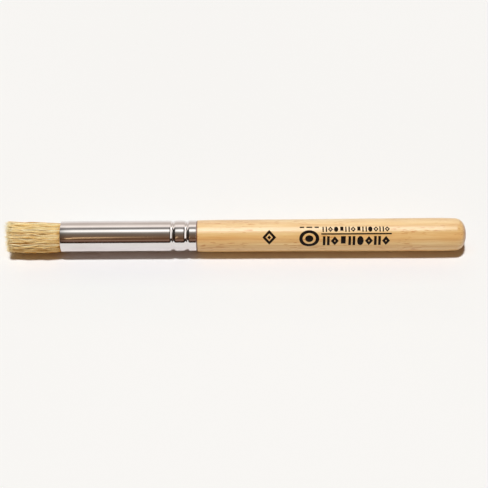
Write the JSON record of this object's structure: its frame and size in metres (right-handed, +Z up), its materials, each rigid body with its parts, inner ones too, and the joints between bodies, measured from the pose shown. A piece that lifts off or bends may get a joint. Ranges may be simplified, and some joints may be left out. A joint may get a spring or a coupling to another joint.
{
  "type": "round stencil brush",
  "caption": "Round stencil brush: parallel turned wooden handle, crimped bright metal ferrule and a short round tuft of hog bristle with a flat-cut working face.",
  "frame": {"origin": "under the middle of the brush's length, on the surface that it lies on", "axes": "+X along the brush from the bristles to the butt of the handle, +Z up, +Y to the left of the handle's direction"},
  "size_m": [0.1944, 0.0142, 0.0141],
  "materials": {
    "varnished_wood": "satin",
    "nickel_plate": "polished",
    "hog_bristle": "matte",
    "cotton_thread": "matte",
    "setting_resin": "gloss",
    "dried_glue": "satin",
    "black_ink": "matte"
  },
  "bodies": {
    "root": {"handle": "varnished_wood", "ferrule": "nickel_plate", "bristle_tuft": "hog_bristle", "binding_thread": "cotton_thread", "setting_resin": "setting_resin", "handle_glue": "dried_glue"}
  },
  "joints": []
}
